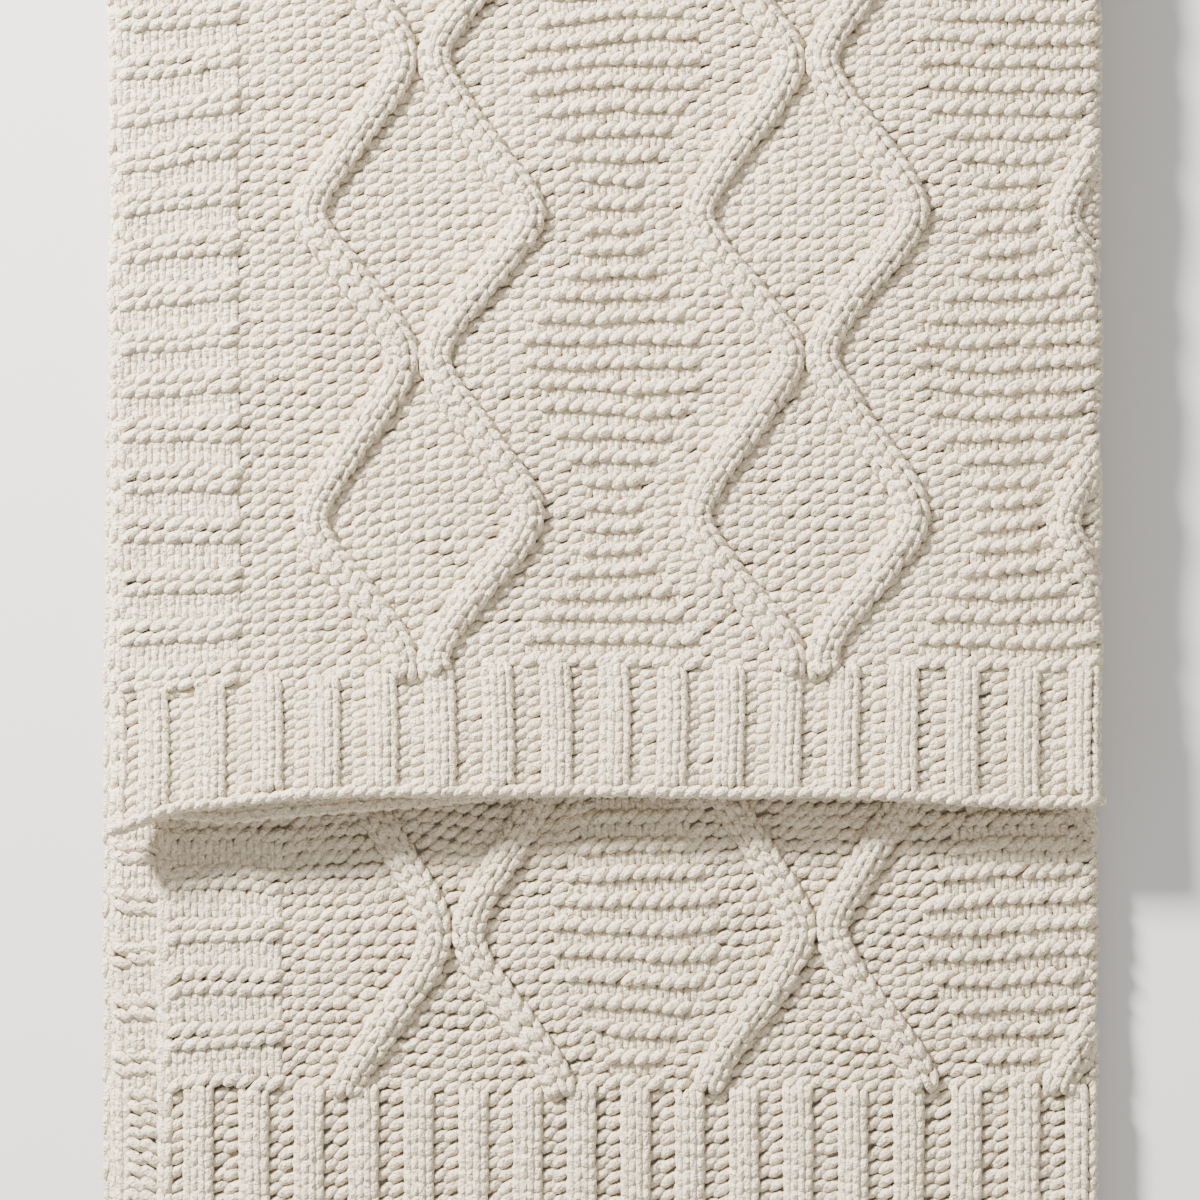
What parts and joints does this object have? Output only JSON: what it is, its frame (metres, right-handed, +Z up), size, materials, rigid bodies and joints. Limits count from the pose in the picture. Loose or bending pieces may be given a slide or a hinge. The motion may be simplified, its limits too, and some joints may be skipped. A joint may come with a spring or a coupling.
{
  "type": "folded cable-knit throw blanket",
  "caption": "Chunky ivory cable-knit throw folded in half lengthwise and then over crosswise, with a ribbed hem and welted side borders.",
  "frame": {"origin": "middle of the underside, on the surface the folded throw lies on", "axes": "+Z up through the four leaves; +Y along the folded throw from the open hems to the crosswise fold; +X from the selvedges to the lengthwise fold"},
  "size_m": [0.62, 0.9, 0.048],
  "materials": {
    "cable_knit": "matt, softly fuzzy chunky cotton-blend yarn in reverse stockinette with cables",
    "ribbed_knit": "matt, softly fuzzy chunky yarn in a two by two rib",
    "welted_knit": "matt, softly fuzzy chunky yarn in horizontal welts",
    "chain_edge": "matt, softly fuzzy chunky yarn in a chain edge"
  },
  "bodies": {
    "lower_leg": {"lower_under_cast_on_edge": "chain_edge", "lower_under_selvedge": "chain_edge", "lower_under_rib_hem": "ribbed_knit", "lower_under_side_band": "welted_knit", "lower_under_field": "cable_knit", "lower_upper_cast_on_edge": "chain_edge", "lower_upper_selvedge": "chain_edge", "lower_upper_rib_hem": "ribbed_knit", "lower_upper_side_band": "welted_knit", "lower_upper_field": "cable_knit", "lower_side_fold": "cable_knit", "top_fold_outer": "cable_knit", "top_fold_inner": "cable_knit", "top_fold_corner": "cable_knit"},
    "flap": {"flap_inner_bind_off_edge": "chain_edge", "flap_inner_selvedge": "chain_edge", "flap_inner_rib_hem": "ribbed_knit", "flap_inner_side_band": "welted_knit", "flap_inner_field": "cable_knit", "flap_outer_bind_off_edge": "chain_edge", "flap_outer_selvedge": "chain_edge", "flap_outer_rib_hem": "ribbed_knit", "flap_outer_side_band": "welted_knit", "flap_outer_field": "cable_knit", "flap_side_fold": "cable_knit"}
  },
  "joints": [
    {"name": "crosswise_fold", "type": "hinge", "parent": "lower_leg", "child": "flap", "pos_m": [0, 0.426, 0.024], "axis": [-1, 0, 0], "range_deg": [0, 179], "deforming": ["top_fold_outer", "top_fold_inner", "top_fold_corner"]}
  ]
}
